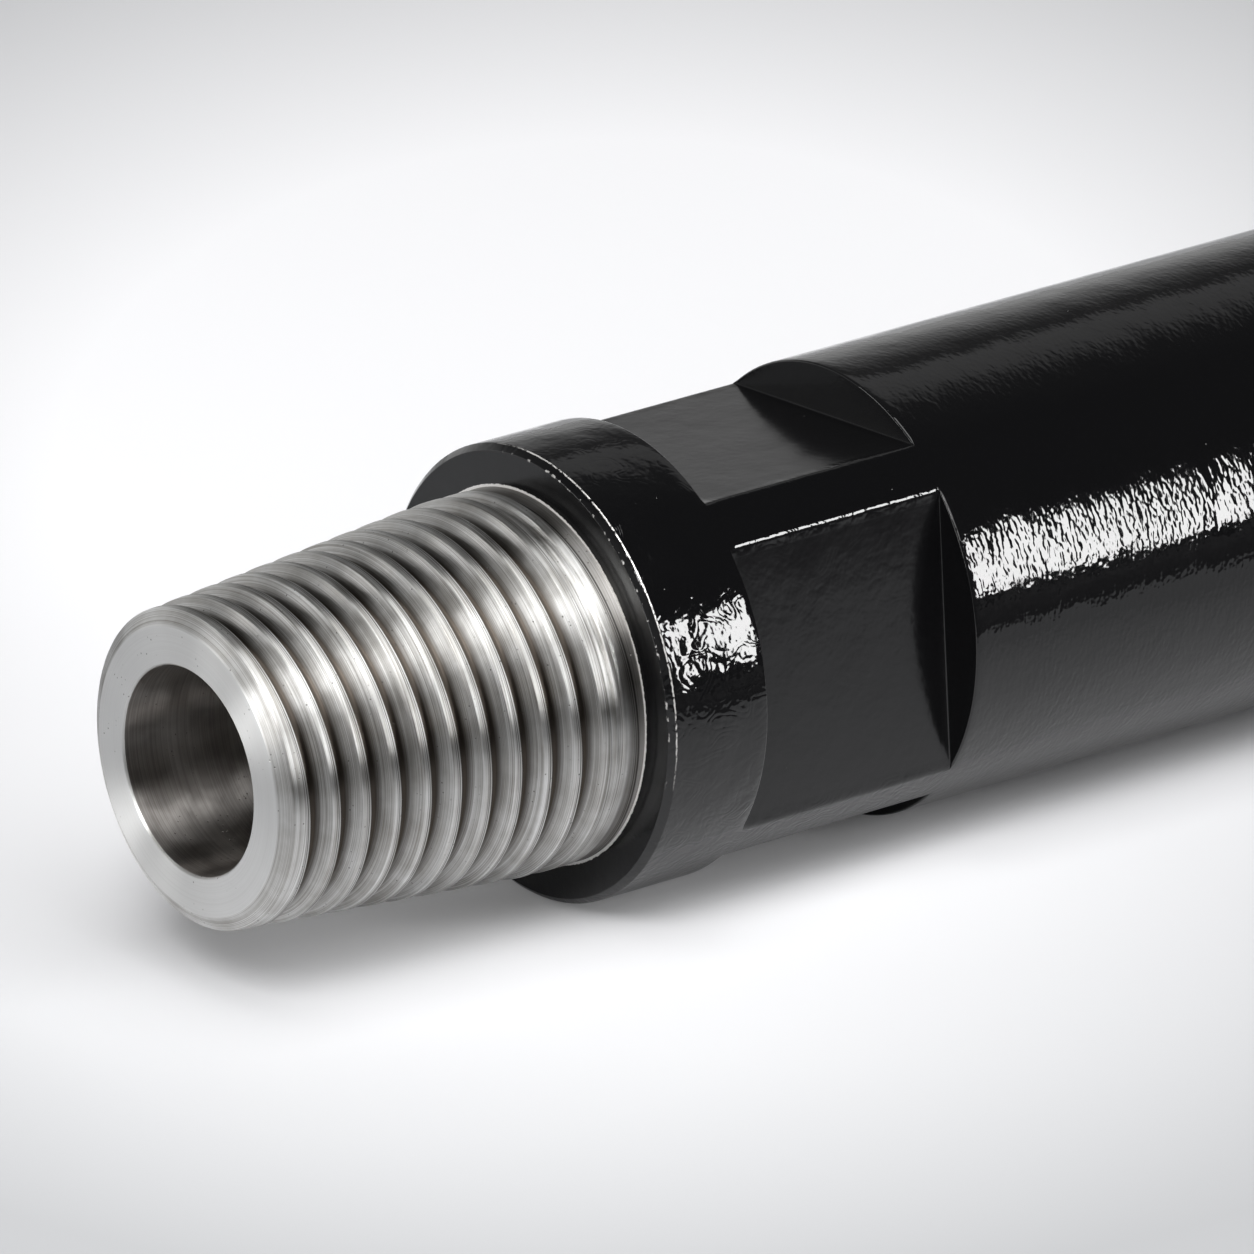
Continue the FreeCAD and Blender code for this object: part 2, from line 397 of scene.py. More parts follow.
@dataclass(frozen=True)
class MachinedSteel:
    """Alloy steel fresh from the lathe.

    The tool leaves fine rings round the axis, which draw the highlights out along it, and handling
    leaves small nicks and specks. Shade is painted into the thread roots, darker deeper in, and
    fine lines of painted shade run along each crest's far edge.
    """

    name: str = "turned_alloy_steel"
    color: str = "#e0e0df"
    shade: str = "#989590"
    root_shade: str = "#4f4943"
    line: str = "#2f2d2b"
    nick: str = "#55514d"
    roughness: float = 0.42
    drawn: float = 0.9  # how far the tool's rings draw a highlight out along the axis
    ring_mm: float = 0.26  # a real feed mark is finer, and is drawn this coarse to show
    ring_depth_mm: float = 0.02
    cone: ThreadCone | None = None
    nose: float = -PipeSizes.pin_length

    def past_nose(self, t: ShaderTree) -> bpy.types.NodeSocket:
        """A mask that is 0 on the nose and its chamfer and 1 along the thread."""
        return t.fade(t.x, self.nose + 1.7 * MM, self.nose + 2.4 * MM)

    def on_face(self, t: ShaderTree, there: float, beyond: float) -> bpy.types.NodeSocket:
        """A value that the faced end of the nose has, and another that all past it has."""
        return t.fade(t.x, self.nose + 0.05 * MM, self.nose + 0.3 * MM, there, beyond)

    def painted_root_shade(self, t: ShaderTree) -> bpy.types.NodeSocket:
        """Adds a mask of the shade that is painted into the thread's roots and into the pin's foot.

        Args:
            t: The material's tree.

        Returns:
            The mask.
        """
        line = t.op("MULTIPLY_ADD", t.x, TAPER, self.cone.at_zero_mm * MM)
        line = t.op("MINIMUM", line, self.cone.cap_mm * MM)
        depth = t.op("MULTIPLY", t.op("SUBTRACT", line, t.radius), float(self.cone.side.value))
        # A surface far below the crests is a face or a bore and gets no painted shade, just as the
        # nose gets none.
        deep = t.fade(depth, 1.7 * MM, 3.0 * MM)
        in_roots = t.op("MULTIPLY", deep, t.fade(depth, 3.7 * MM, 3.4 * MM))
        film = t.op("MULTIPLY", in_roots, self.past_nose(t))
        # The cove at the pin's foot gets painted shade too.
        cove = t.fade(t.op("ABSOLUTE", t.x), 3.4 * MM, 2.4 * MM, 0.0, 0.6)
        return t.op("MAXIMUM", film, cove)

    def crest_lines(self, t: ShaderTree) -> bpy.types.NodeSocket:
        """Adds fine dark lines on and just past each crest's far edge, as painted shade where the
        surface turns away from the light.

        Args:
            t: The material's tree.

        Returns:
            A mask of the lines, 0 on the nose.
        """
        turn = t.op("DIVIDE", t.op("ARCTAN2", t.z, t.y), FULL_TURN)
        along = t.op("DIVIDE", t.op("SUBTRACT", t.x, self.cone.start_mm * MM), PITCH)
        phase = t.op("FRACT", t.op("SUBTRACT", along, turn))
        lines: Any = 0.0
        for mark in CREST_LINES:
            away = t.op("ABSOLUTE", t.op("SUBTRACT", phase, mark.place))
            shown = t.fade(away, mark.faint, mark.full, 0.0, mark.strength)
            lines = t.op("MAXIMUM", lines, shown)
        return t.op("MULTIPLY", lines, self.past_nose(t))

    def build(self) -> bpy.types.Material:
        """Makes the material.

        Returns:
            The new material.
        """
        t = ShaderTree(self.name)
        # Rings follow the axial place and the radius, and barely change round the axis.
        along = t.op("MULTIPLY_ADD", t.radius, 1.3, t.x)
        across = 14.0  # per metre, so that a ring changes over about 70 mm
        spot = add_node(
            t.tree,
            "ShaderNodeCombineXYZ",
            inputs={
                0: t.op("MULTIPLY", along, 1 / (self.ring_mm * MM)),
                1: t.op("MULTIPLY", t.y, across),
                2: t.op("MULTIPLY", t.z, across),
            },
        ).outputs[0]
        rings = add_node(
            t.tree, "ShaderNodeTexNoise", inputs={"Vector": spot, "Scale": 1.0, "Detail": 2.0}
        ).outputs["Fac"]
        # The faced nose is finished finer than the thread.
        fine = self.on_face(t, 0.12, 1.0)
        rings = t.op("MULTIPLY_ADD", t.op("SUBTRACT", rings, 0.5), fine, 0.5)
        clouds = t.noise(7.0, 3.0)
        # Nicks and dents gather in patches, as where a chain or a wrench touched.
        patches = t.fade(clouds, 0.52, 0.6)
        nicks = t.op("MULTIPLY", t.specks(1.3, 0.2), patches)
        specks = t.op("MAXIMUM", nicks, t.specks(4.5, 0.18))
        # The nose's face is also lighter in tone and more even.
        even = t.op("MULTIPLY_ADD", t.op("SUBTRACT", clouds, 0.5), fine, 0.5)
        lighter_face = self.on_face(t, 0.2, 0.0)
        tone = t.op("ADD", t.op("MULTIPLY_ADD", even, 0.6, rings), lighter_face)
        color = t.blend(t.fade(tone, 0.55, 1.05), self.shade, self.color)
        height = rings
        if self.cone is not None:
            # Painted shade darkens the thread's roots and the cove at the pin's foot.
            color = t.blend(self.painted_root_shade(t), color, self.root_shade)
            # There are no lines on the plain cylinder at the thread's foot.
            on_thread = t.fade(t.radius, 34.9 * MM, 35.1 * MM, 1.0, 0.0)
            lines = t.op("MULTIPLY", self.crest_lines(t), on_thread)
            # The crest lines are painted shade along each crest's far edge, and are pressed in a
            # little as well.
            color = t.blend(t.op("MULTIPLY", lines, 0.8), color, self.line)
            height = t.op("MULTIPLY_ADD", lines, -1.2, rings)
        color = t.blend(t.op("MULTIPLY", specks, 0.7), color, self.nick)
        normal = t.bump(height, self.ring_depth_mm)
        normal = t.bump(specks, -0.06, 0.8, normal)
        round_axis = add_node(
            t.tree, "ShaderNodeTangent", {"direction_type": "RADIAL", "axis": "X"}
        ).outputs[0]
        return t.feed(
            metallic=1.0,
            base_color=color,
            roughness=t.fade(even, 0.35, 0.65, self.roughness - 0.04, self.roughness + 0.06),
            normal=normal,
            anisotropic=self.drawn,
            anisotropic_rotation=0.25,
            tangent=round_axis,
        )


@dataclass(frozen=True)
class Flow:
    """How the enamel lay on one kind of surface as it dried.

    Attributes:
        stretch: How fast its pattern changes along each axis.
        coarse: How wide its ripples are, against the finish's own width.
        deep: How deep they are, against the finish's own depth.
        nested: How strongly nested ripples show on them.
        swell_depth_mm: How deep the long swell is.
    """

    stretch: tuple[float, float, float]
    coarse: float
    deep: float
    nested: float
    swell_depth_mm: float


EVEN_FLOW = Flow((1.0, 1.0, 1.0), coarse=1.3, deep=1.15, nested=0.3, swell_depth_mm=0.25)
DRAWN_FLOW = Flow((1.3, 0.68, 0.68), coarse=0.9, deep=0.95, nested=0.0, swell_depth_mm=0.14)


@dataclass(frozen=True)
class GlossEnamel:
    """Black gloss enamel, sprayed thick.

    The film dries to an orange peel of ripples a millimetre or two wide, so a lamp's reflection
    breaks up into worms and drops. Round the foot of the pin it was wiped off to a bare ring,
    coloured near-white and matt, which also paints in the highlight that its corner catches. Along
    both edges of the shoulder's bevel, broken lines of painted highlight are drawn in the same
    colour.
    """

    paint: Paint
    color: str = "#0d0d0e"
    dusty: str = "#8d8d8b"
    bare_and_highlight: str = "#eeece9"
    roughness: float = 0.055
    ior: float = 1.5
    peel_mm: float = 1.25
    peel_depth_mm: float = 0.068
    swell_mm: float = 9.0
    wiped_radius_mm: float = 35.45
    shine: float = 0.5

    @property
    def name(self) -> str:
        """The material's name."""
        return f"black_gloss_enamel_{self.paint.value}"

    def painted_bevel_highlight(self, t: ShaderTree) -> bpy.types.NodeSocket:
        """Adds a mask of painted highlight, in dashes along both edges of the shoulder's bevel.

        Args:
            t: The material's tree.

        Returns:
            The mask.
        """
        near_rim = t.fade(t.radius, 41.45 * MM, 41.5 * MM)
        # Each line wanders and swells a little.
        place = t.op("MULTIPLY_ADD", t.noise(0.9, 2.0), 0.2 * MM, t.x)
        inner = t.fade(t.op("ABSOLUTE", t.op("SUBTRACT", place, 0.2 * MM)), 0.15 * MM, 0.07 * MM)
        outer = t.fade(t.op("ABSOLUTE", t.op("SUBTRACT", place, 1.25 * MM)), 0.14 * MM, 0.06 * MM)
        inner = t.op("MULTIPLY", inner, t.fade(t.noise(1.3, 3.0), 0.57, 0.66, 0.0, 0.7))
        outer = t.op("MULTIPLY", outer, t.fade(t.noise(0.8, 3.0), 0.34, 0.5))
        bare_and_highlight = t.op("MAXIMUM", inner, outer)
        # The painted highlight is strongest on the side that faces up and forwards, where the strip
        # lamp falls.
        reach = t.op("MULTIPLY_ADD", t.y, -0.7, t.op("MULTIPLY", t.z, 0.7))
        upper = t.fade(t.op("MULTIPLY_ADD", t.noise(5.0), 14 * MM, reach), 29 * MM, 43 * MM)
        return t.op("MULTIPLY", t.op("MULTIPLY", bare_and_highlight, near_rim), upper)

    def build(self) -> bpy.types.Material:
        """Makes the material.

        Returns:
            The new material.
        """
        t = ShaderTree(self.name)
        # The paint ran round the tube as it turned on the line, so its ripples are drawn out
        # round the axis there, and are even on the collar and its flats.
        flow = EVEN_FLOW if self.paint is Paint.COLLAR else DRAWN_FLOW
        drawn = add_node(
            t.tree, "ShaderNodeMapping", inputs={"Vector": t.place, "Scale": flow.stretch}
        ).outputs[0]
        peel = t.noise(self.peel_mm * flow.coarse, 0.0, 0.3, drawn)
        swell = t.noise(self.swell_mm, 1.0)
        # The size of a sine of slow noise gives nested ripples, like a fingerprint, on the peel.
        nested = t.op("SINE", t.op("MULTIPLY", t.noise(5.5, 0.0, 0.4, drawn), 25.0))
        nested = t.op("ABSOLUTE", nested)
        # The film lies calmer on the milled flats than on the turned surfaces.
        turned = t.fade(t.radius, 41.5 * MM, 42.5 * MM, 0.3, 1.0)
        # It also settled smoother along the top.
        settled = t.fade(t.z, 23.0 * MM, 33.0 * MM, 1.0, 0.6)
        calm = t.op("MULTIPLY", turned, settled)
        calm = t.op("MULTIPLY", t.fade(swell, 0.3, 0.62, 0.6, 1.0), calm)
        ripple = t.op("MULTIPLY", turned, flow.nested)
        # Fine pimples break the lamp's edge into drops.
        peel = t.op("MULTIPLY_ADD", t.noise(0.75, 0.0), 0.34, peel)
        height = t.op("MULTIPLY", t.op("MULTIPLY_ADD", nested, ripple, peel), calm)
        normal = t.bump(height, self.peel_depth_mm * flow.deep)
        normal = t.bump(swell, flow.swell_depth_mm, turned, normal)
        film = t.blend(t.specks(9.0, 0.12), self.color, self.dusty)
        rough = t.fade(swell, 0.3, 0.7, self.roughness - 0.015, self.roughness + 0.03)
        rough = t.op("ADD", rough, t.fade(turned, 0.3, 1.0, 0.1, 0.0))
        if self.paint is not Paint.COLLAR:
            return t.feed(
                base_color=film,
                roughness=rough,
                normal=normal,
                ior=self.ior,
                specular_ior_level=self.shine,
            )
        ragged = t.op("MULTIPLY_ADD", t.noise(0.9, 2.0), 0.5 * MM, t.radius)
        wiped = t.fade(ragged, (self.wiped_radius_mm + 0.3) * MM, (self.wiped_radius_mm + 0.2) * MM)
        on_face = t.fade(t.x, 0.06 * MM, 0.04 * MM)
        # The bare ring at the pin's foot and the bevel's painted highlight share one near-white,
        # half-metal colour, which on the ring also stands for the highlight on its corner.
        bare = t.op("MAXIMUM", t.op("MULTIPLY", wiped, on_face), self.painted_bevel_highlight(t))
        return t.feed(
            base_color=t.blend(bare, film, self.bare_and_highlight),
            metallic=t.op("MULTIPLY", bare, 0.5),
            roughness=t.op("MULTIPLY_ADD", bare, 0.2, rough),
            normal=normal,
            ior=self.ior,
        )


@dataclass(frozen=True)
class Finishes:
    """The materials that the pieces share."""

    steel: bpy.types.Material = field(
        default_factory=lambda: MachinedSteel(
            cone=ThreadCone(at_zero_mm=35.95, cap_mm=35.0, side=Side.OUTSIDE, start_mm=-72.1)
        ).build()
    )
    box_steel: bpy.types.Material = field(
        default_factory=lambda: MachinedSteel(
            name="turned_alloy_steel_box",
            cone=ThreadCone(
                at_zero_mm=-50.23, cap_mm=1000.0, side=Side.INSIDE, start_mm=923.775
            ),
        ).build()
    )
    bore: bpy.types.Material = field(
        default_factory=lambda: MachinedSteel(
            name="bored_steel",
            color="#b9b5b1",
            shade="#96918d",
            roughness=0.34,
            ring_mm=0.3,
            ring_depth_mm=0.025,
        ).build()
    )
    collar: bpy.types.Material = field(default_factory=lambda: GlossEnamel(Paint.COLLAR).build())
    tube: bpy.types.Material = field(default_factory=lambda: GlossEnamel(Paint.TUBE).build())
    # The steep end walls of the flats got a thin, dull coat.
    end_wall: bpy.types.Material = field(
        default_factory=lambda: GlossEnamel(Paint.END_WALL, shine=0.12).build()
    )


def smooth(mesh: bpy.types.Mesh, sharp_deg: float = 35.0) -> None:
    """Shades a mesh smooth, with hard edges where its faces turn by more than an angle."""
    mesh.shade_smooth()
    mesh.set_sharp_from_angle(angle=math.radians(sharp_deg))


def crease_ring(mesh: bpy.types.Mesh, place: float, radius: float) -> None:
    """Marks the edges of one ring as hard.

    Args:
        mesh: The mesh that has the ring.
        place: The ring's axial place.
        radius: The ring's radius.
    """
    near = 0.005 * MM
    for edge in mesh.edges:
        ends = [mesh.vertices[i].co for i in edge.vertices]
        edge.use_edge_sharp |= all(
            abs(end.x - place) < near and abs(math.hypot(end.y, end.z) - radius) < 4 * near
            for end in ends
        )


def piece_from(name: str, mesh: bpy.types.Mesh) -> bpy.types.Object:
    """Makes an object at the origin for a mesh that already lies in its place.

    Args:
        name: The object's name.
        mesh: Its mesh.

    Returns:
        The new object.
    """
    piece = bpy.data.objects.new(name, mesh)
    bpy.context.scene.collection.objects.link(piece)
    return piece


def even_angles(count: int) -> np.ndarray:
    """Angles spaced evenly round the axis."""
    return np.arange(count) * FULL_TURN / count


def turned_rings(points: Sequence[Point], count: int) -> list[Ring]:
    """Rings of a turned profile.

    Args:
        points: Axial place and radius of each corner of the profile.
        count: How many angles each ring has.

    Returns:
        One ring for each corner.
    """
    return [(np.full(count, x), np.full(count, r)) for x, r in points]


def rounded_corner(
    before: Point, corner: Point, after: Point, radius: float, steps: int = 4
) -> list[Point]:
    """Points of a small arc that rounds off a corner of a profile.

    Args:
        before: A point on the line that comes in.
        corner: The corner itself.
        after: A point on the line that goes out.
        radius: The arc's radius.
        steps: How many pieces the arc has.

    Returns:
        The arc's points, from the line that comes in to the line that goes out.
    """
    here = Vector(corner)
    into = (here - Vector(before)).normalized()
    out = (Vector(after) - here).normalized()
    turn = math.acos(max(-1.0, min(1.0, into.dot(out))))
    straight = 1e-3
    if turn < straight:
        return [corner]
    reach = radius * math.tan(turn / 2)
    start = here - into * reach
    centre_way = (out - into * into.dot(out)).normalized()
    centre = start + centre_way * radius
    points = []
    for step in range(steps + 1):
        angle = turn * step / steps
        point = centre - centre_way * (radius * math.cos(angle)) + into * (radius * math.sin(angle))
        points.append((point.x, point.y))
    return points


def rounded_profile(corners: Sequence[tuple[float, float, float]]) -> list[Point]:
    """A profile with each corner between its ends rounded by its own radius.

    Args:
        corners: Axial place, radius from the axis and corner radius of each corner.

    Returns:
        The profile's points.
    """
    points: list[Point] = []
    for i, (x, r, rounding) in enumerate(corners):
        if rounding > 0 and 0 < i < len(corners) - 1:
            points += rounded_corner(corners[i - 1][:2], (x, r), corners[i + 1][:2], rounding)
        else:
            points.append((x, r))
    return points


def lathe(
    name: str, rings: Sequence[Ring], angles: np.ndarray, closed: bool = True
) -> bpy.types.Mesh:
    """Skins rings round the X axis.

    Args:
        name: The mesh's name.
        rings: The rings in order, so that walking along them keeps the solid on the right.
        angles: The angle of each point of a ring, from +Y towards +Z.
        closed: Whether the last ring joins the first.

    Returns:
        The new mesh.
    """
    count = len(angles)
    places = np.array([x for x, _ in rings])
    radii = np.array([r for _, r in rings])
    points = np.stack([places, radii * np.cos(angles), radii * np.sin(angles)], axis=-1)
    faces = []
    spans = len(rings) if closed else len(rings) - 1
    for i in range(spans):
        near, far = i * count, ((i + 1) % len(rings)) * count
        for k in range(count):
            nxt = (k + 1) % count
            faces.append((near + k, near + nxt, far + nxt, far + k))
    mesh = bpy.data.meshes.new(name)
    mesh.from_pydata(points.reshape(-1, 3).tolist(), [], faces)
    build = bmesh.new()
    build.from_mesh(mesh)
    bmesh.ops.remove_doubles(build, verts=build.verts, dist=ONE_POINT)
    bmesh.ops.recalc_face_normals(build, faces=build.faces)
    build.to_mesh(mesh)
    build.free()
    return mesh


def dress_by_place(
    mesh: bpy.types.Mesh,
    materials: Sequence[bpy.types.Material],
    choose: Callable[[Vector], int],
) -> None:
    """Gives each face one of the materials, by where its middle lies.

    Args:
        mesh: The mesh to dress.
        materials: The mesh's materials.
        choose: Turns a face's middle into the number of its material.
    """
    for material in materials:
        mesh.materials.append(material)
    for polygon in mesh.polygons:
        polygon.material_index = choose(polygon.center)


class HelicalThread:
    """A node tree that lays a grid along a helix and presses the thread's groove into it.

    Attributes:
        PER_TURN: How many places the helix has in each turn.
        ACROSS: How many strips the grid has from a groove's middle to a crest's.
        SECTION: Where they lie: a share of all strips of one pitch, and how far across it that
            share reaches, in pitches from the groove's middle.
        BASE_BLEND: How softly the crests' cone runs into the plain cylinder.
        RIM_BLEND: How softly it runs into the end chamfer.
        RUN_OUT: How far above the crests a groove has risen where it has run out.
        ROOT_ROUNDING: How softly a flank runs into the root.
        CREST_ROUNDING: How softly it runs into the crest.
    """

    PER_TURN = 160
    ACROSS = 20
    SECTION = ((0.0, -0.5), (0.1, -0.405), (0.26, -0.345), (0.4, -0.16), (0.5, 0.0))
    BASE_BLEND = 0.2 * MM
    RIM_BLEND = 0.25 * MM
    RUN_OUT = 0.5 * MM
    ROOT_ROUNDING = 0.7 * MM
    CREST_ROUNDING = 0.07 * MM

    def __init__(self) -> None:
        """Builds the tree once, for every thread of the pipe."""
        self.tree = bpy.data.node_groups.new("helical_thread", "GeometryNodeTree")
        face = self.tree.interface
        self.sockets: dict[str, str] = {}
        face.new_socket("Geometry", in_out="INPUT", socket_type="NodeSocketGeometry")
        names = (
            "first turn", "last turn", "start", "turns", "run in", "run out", "low", "high",
            "crest at zero", "crest slope", "base", "chamfer", "chamfer slope", "side", "pitch",
            "height", "groove half width", "root half width",
        )
        for name in names:
            socket = face.new_socket(name, in_out="INPUT", socket_type="NodeSocketFloat")
            self.sockets[name] = socket.identifier
        steps = face.new_socket("steps", in_out="INPUT", socket_type="NodeSocketInt")
        self.sockets["steps"] = steps.identifier
        material = face.new_socket("material", in_out="INPUT", socket_type="NodeSocketMaterial")
        self.sockets["material"] = material.identifier
        face.new_socket("Geometry", in_out="OUTPUT", socket_type="NodeSocketGeometry")
        self._build()

    def _build(self) -> None:
        """Adds the tree's nodes."""
        tree = self.tree
        given = add_node(tree, "NodeGroupInput").outputs

        def op(operation: str, *values: Any) -> bpy.types.NodeSocket:
            """A sum in this tree."""
            return math_node(tree, operation, *values)

        grid = add_node(
            tree,
            "GeometryNodeMeshGrid",
            inputs={
                "Size X": 1.0,
                "Size Y": 1.0,
                "Vertices X": given["steps"],
                "Vertices Y": self.ACROSS * 2 + 1,
            },
        ).outputs["Mesh"]
        place = add_node(tree, "GeometryNodeInputPosition").outputs[0]
        axes = add_node(tree, "ShaderNodeSeparateXYZ", inputs={0: place}).outputs
        along = op("ADD", axes[0], 0.5)
        span = op("SUBTRACT", given["last turn"], given["first turn"])
        turn = op("MULTIPLY_ADD", along, span, given["first turn"])
        curve = add_node(
            tree, "ShaderNodeFloatCurve", inputs={"Value": op("ADD", axes[1], 0.5)}
        )
        self._shape_section(curve)
        across = op("SUBTRACT", curve.outputs[0], 0.5)
        # The grid's own axial place, held between the two ends of the threaded cone.
        x_free = op("MULTIPLY_ADD", given["pitch"], op("ADD", turn, across), given["start"])
        x = op("MINIMUM", op("MAXIMUM", x_free, given["low"]), given["high"])
        from_start = op("DIVIDE", op("SUBTRACT", x, given["start"]), given["pitch"])
        phase = op("WRAP", op("SUBTRACT", from_start, turn), 0.5, -0.5)
        groove_turn = op("SUBTRACT", from_start, phase)
        centre = op("MULTIPLY_ADD", given["pitch"], groove_turn, given["start"])
        cone = op("MULTIPLY_ADD", given["crest slope"], x, given["crest at zero"])
        cone_here = op("MULTIPLY_ADD", given["crest slope"], centre, given["crest at zero"])
        # Radii are counted outwards on an outside thread and inwards on an inside one.
        base = op("MULTIPLY", given["base"], given["side"])
        crest = op("SMOOTH_MIN", op("MULTIPLY", cone, given["side"]), base, self.BASE_BLEND)
        from_end = op("SUBTRACT", x, given["low"])
        rim = op("MULTIPLY", given["chamfer"], given["side"])
        chamfer = op("MULTIPLY_ADD", from_end, given["chamfer slope"], rim)
        crest = op("SMOOTH_MIN", crest, chamfer, self.RIM_BLEND)
        rise = op("ADD", given["height"], self.RUN_OUT)
        early = op("DIVIDE", op("MULTIPLY", groove_turn, -1.0), given["run in"])
        late = op("DIVIDE", op("SUBTRACT", groove_turn, given["turns"]), given["run out"])
        clear = op("MULTIPLY", op("MAXIMUM", op("MAXIMUM", early, late), 0.0), rise)
        floor = op("SUBTRACT", op("MULTIPLY", cone_here, given["side"]), given["height"])
        offset = op("MULTIPLY", op("ABSOLUTE", phase), given["pitch"])
        wall = op("SUBTRACT", given["groove half width"], given["root half width"])
        steep = op("DIVIDE", given["height"], wall)
        flank = op("MULTIPLY", op("SUBTRACT", offset, given["root half width"]), steep)
        groove = op("ADD", floor, op("SMOOTH_MAX", flank, 0.0, self.ROOT_ROUNDING))
        groove = op("ADD", groove, clear)
        signed = op("SMOOTH_MIN", crest, groove, self.CREST_ROUNDING)
        radius = op("MULTIPLY", signed, given["side"])
        angle = op("MULTIPLY", turn, FULL_TURN)
        spot = add_node(
            tree,
            "ShaderNodeCombineXYZ",
            inputs={
                0: x,
                1: op("MULTIPLY", radius, op("COSINE", angle)),
                2: op("MULTIPLY", radius, op("SINE", angle)),
            },
        ).outputs[0]
        laid = add_node(
            tree, "GeometryNodeSetPosition", inputs={"Geometry": grid, "Position": spot}
        ).outputs[0]
        merged = add_node(
            tree,
            "GeometryNodeMergeByDistance",
            inputs={"Geometry": laid, "Distance": SEAM_GAP / 2},
        ).outputs[0]
        real = add_node(
            tree, "GeometryNodeRealizeInstances", inputs={"Geometry": merged}
        ).outputs[0]
        dressed = add_node(
            tree,
            "GeometryNodeSetMaterial",
            inputs={"Geometry": real, "Material": given["material"]},
        ).outputs[0]
        add_node(tree, "NodeGroupOutput", inputs={0: dressed})

    def _shape_section(self, curve: bpy.types.Node) -> None:
        """Spreads the grid's lines over the section, closest where the crest turns to flank.

        Args:
            curve: The Float Curve node that spreads them.
        """
        line = curve.mapping.curves[0]
        half = [(x, y + 0.5) for x, y in self.SECTION]
        spots = half + [(1 - x, 1 - y) for x, y in reversed(half[:-1])]
        line.points[0].location = spots[0]
        line.points[1].location = spots[-1]
        for x, y in spots[1:-1]:
            line.points.new(x, y)
        for point in line.points:
            point.handle_type = "VECTOR"
        curve.mapping.update()

    def cut(self, name: str, form: ThreadForm, material: bpy.types.Material) -> bpy.types.Mesh:
        """Makes one threaded surface, open at both ends.

        Args:
            name: The mesh's name.
            form: The thread's sizes.
            material: The bare metal's material.

        Returns:
            The surface as a plain mesh.
        """
        first = math.floor(((form.low - form.start) / form.pitch - 0.5) * self.PER_TURN) - 1
        last = math.ceil(((form.high - form.start) / form.pitch + 0.5) * self.PER_TURN) + 1
        values = {
            "first turn": first / self.PER_TURN,
            "last turn": last / self.PER_TURN,
            "start": form.start,
            "turns": form.turns,
            "run in": form.run_in,
            "run out": form.run_out,
            "low": form.low,
            "high": form.high,
            "crest at zero": form.crest_at_zero,
            "crest slope": form.crest_slope,
            "base": form.base_radius,
            "chamfer": form.chamfer_radius,
            "chamfer slope": form.chamfer_slope,
            "side": float(form.side.value),
            "pitch": form.pitch,
            "height": form.height,
            "groove half width": form.groove_width / 2,
            "root half width": form.root_width / 2,
            "steps": last - first + 1,
            "material": material,
        }
        holder = piece_from(f"{name}_holder", bpy.data.meshes.new(name))
        modifier = holder.modifiers.new("helical_thread", "NODES")
        modifier.node_group = self.tree
        for key, value in values.items():
            modifier[self.sockets[key]] = value
        bpy.context.view_layer.update()
        graph = bpy.context.evaluated_depsgraph_get()
        mesh = bpy.data.meshes.new_from_object(holder.evaluated_get(graph))
        bpy.data.objects.remove(holder)
        mesh.name = name
        return mesh


def joined(name: str, meshes: Sequence[bpy.types.Mesh]) -> bpy.types.Mesh:
    """Merges open surfaces whose rims meet into one closed mesh, with its faces outwards.

    Args:
        name: The mesh's name.
        meshes: The surfaces.

    Returns:
        The closed mesh.
    """
    build = bmesh.new()
    for mesh in meshes:
        build.from_mesh(mesh)
    bmesh.ops.remove_doubles(build, verts=build.verts, dist=SEAM_GAP)
    bmesh.ops.dissolve_degenerate(build, edges=build.edges, dist=ONE_POINT)
    # Where a groove runs out at the end of its cone, a thin gap stays, and is closed here.
    gap = [edge for edge in build.edges if len(edge.link_faces) == 1]
    bmesh.ops.holes_fill(build, edges=gap, sides=0)
    bmesh.ops.recalc_face_normals(build, faces=build.faces)
    whole = bpy.data.meshes.new(name)
    build.to_mesh(whole)
    open_edges = sum(1 for edge in build.edges if len(edge.link_faces) != 2)
    build.free()
    log.info("%s: %d faces, %d open edges", name, len(whole.polygons), open_edges)
    return whole


